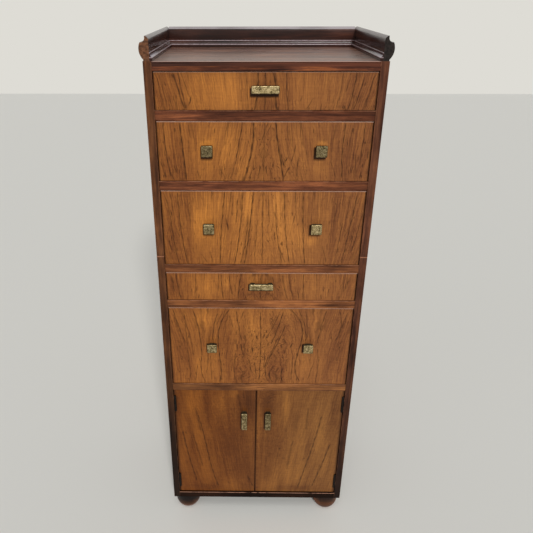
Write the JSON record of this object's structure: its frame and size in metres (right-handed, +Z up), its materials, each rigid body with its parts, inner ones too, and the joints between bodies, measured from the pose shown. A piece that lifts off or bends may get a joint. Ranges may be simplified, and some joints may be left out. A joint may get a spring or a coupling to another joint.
{
  "type": "tallboy",
  "caption": "Tall narrow walnut chest with a column of drawers over a two-door cupboard, a low moulded gallery round the top and turned bun feet.",
  "frame": {"origin": "on the floor under the middle of the whole piece, pulls and gallery moulding included", "axes": "+Z up, -Y towards the user in front of the drawers, +X to the right of someone facing the front"},
  "size_m": [0.5332, 0.373, 1.4055],
  "materials": {
    "side_veneer": "polished walnut veneer",
    "dark_trim": "polished dark red-brown hardwood",
    "top_veneer": "polished, with a pale bloom of wear",
    "drawer_veneer": "polished walnut veneer, matched about the middle",
    "door_veneer": "polished walnut veneer, matched as a pair",
    "inner_wood": "planed, unpolished",
    "plywood": "plain, unpolished",
    "turned_feet": "ebonised, worn brown below",
    "dark_steel": "darkened with age",
    "antique_brass": "cast, hammered face, tarnished"
  },
  "bodies": {
    "carcass": {"right_side": "side_veneer", "left_side": "side_veneer", "right_stile_lipping": "dark_trim", "left_stile_lipping": "dark_trim", "top_board": "top_veneer", "top_rail": "dark_trim", "base_board": "dark_trim", "back_panel": "plywood", "cupboard_ceiling": "plywood", "drawer_runners": "inner_wood", "top_kickers": "inner_wood", "drawer_stops": "inner_wood", "door_stop": "inner_wood", "gallery_right": "dark_trim", "gallery_left": "dark_trim", "gallery_back": "dark_trim", "gallery_inner_moulding": "dark_trim", "bun_feet": "turned_feet", "hinge_frame_leaves": "dark_steel", "hinge_pins": "dark_steel", "rail_1": "dark_trim", "rail_2": "dark_trim", "rail_3": "dark_trim", "rail_4": "dark_trim", "rail_5": "dark_trim"},
    "drawer_1": {"drawer_1_front": "drawer_veneer", "drawer_1_sides": "inner_wood", "drawer_1_back": "inner_wood", "drawer_1_bottom": "plywood", "drawer_1_handle": "antique_brass"},
    "drawer_2": {"drawer_2_front": "drawer_veneer", "drawer_2_sides": "inner_wood", "drawer_2_back": "inner_wood", "drawer_2_bottom": "plywood", "drawer_2_knobs": "antique_brass"},
    "drawer_3": {"drawer_3_front": "drawer_veneer", "drawer_3_sides": "inner_wood", "drawer_3_back": "inner_wood", "drawer_3_bottom": "plywood", "drawer_3_knobs": "antique_brass"},
    "drawer_4": {"drawer_4_front": "drawer_veneer", "drawer_4_sides": "inner_wood", "drawer_4_back": "inner_wood", "drawer_4_bottom": "plywood", "drawer_4_handle": "antique_brass"},
    "drawer_5": {"drawer_5_front": "drawer_veneer", "drawer_5_sides": "inner_wood", "drawer_5_back": "inner_wood", "drawer_5_bottom": "plywood", "drawer_5_knobs": "antique_brass"},
    "left_door": {"left_door_panel": "door_veneer", "left_door_handle": "antique_brass", "left_door_hinge_leaves": "dark_steel"},
    "right_door": {"right_door_panel": "door_veneer", "right_door_handle": "antique_brass", "right_door_hinge_leaves": "dark_steel"}
  },
  "joints": [
    {"name": "drawer_1_slide", "type": "slide", "parent": "carcass", "child": "drawer_1", "axis": [0, -1, 0], "range_m": [0, 0.25]},
    {"name": "drawer_2_slide", "type": "slide", "parent": "carcass", "child": "drawer_2", "axis": [0, -1, 0], "range_m": [0, 0.25]},
    {"name": "drawer_3_slide", "type": "slide", "parent": "carcass", "child": "drawer_3", "axis": [0, -1, 0], "range_m": [0, 0.25]},
    {"name": "drawer_4_slide", "type": "slide", "parent": "carcass", "child": "drawer_4", "axis": [0, -1, 0], "range_m": [0, 0.25]},
    {"name": "drawer_5_slide", "type": "slide", "parent": "carcass", "child": "drawer_5", "axis": [0, -1, 0], "range_m": [0, 0.25]},
    {"name": "left_door_swing", "type": "hinge", "parent": "carcass", "child": "left_door", "pos_m": [-0.2382, -0.17, 0.2835], "axis": [0, 0, -1], "range_deg": [0, 110]},
    {"name": "right_door_swing", "type": "hinge", "parent": "carcass", "child": "right_door", "pos_m": [0.2382, -0.17, 0.2835], "axis": [0, 0, 1], "range_deg": [0, 110]}
  ]
}
